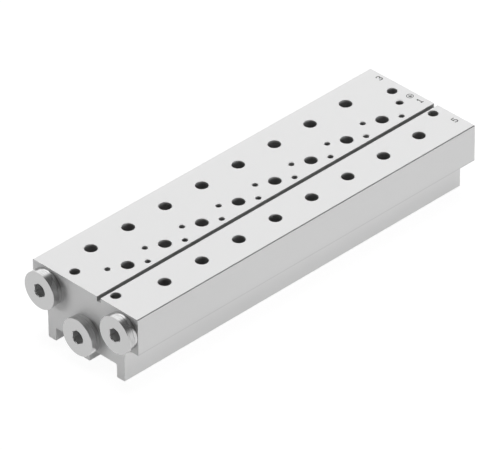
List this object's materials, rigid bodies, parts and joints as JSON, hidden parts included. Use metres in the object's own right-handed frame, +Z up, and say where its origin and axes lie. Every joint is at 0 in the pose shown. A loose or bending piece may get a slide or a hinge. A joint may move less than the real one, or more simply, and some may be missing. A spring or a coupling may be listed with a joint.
{
  "type": "pneumatic valve manifold rail",
  "caption": "Aluminium manifold rail with rows of air and screw holes in a flat top, galleries along it, legs and a rib below, and socket plugs with seal rings in the ports of one end.",
  "frame": {"origin": "middle of the rail's underside, on the foot of the middle rib, half way between the end faces", "axes": "+X along the rail from the plugged end to the open end, +Y towards the side of port 3, +Z up, out of the valve face"},
  "size_m": [0.2091, 0.064, 0.0362],
  "materials": {
    "rail": "satin, clear anodised",
    "plug": "turned, zinc plated",
    "seal": "soft, bright"
  },
  "bodies": {
    "root": {"rail_body": "rail", "plug_port_3": "plug", "plug_port_1": "plug", "plug_port_5": "plug", "seal_port_3": "seal", "seal_port_1": "seal", "seal_port_5": "seal"}
  },
  "joints": []
}
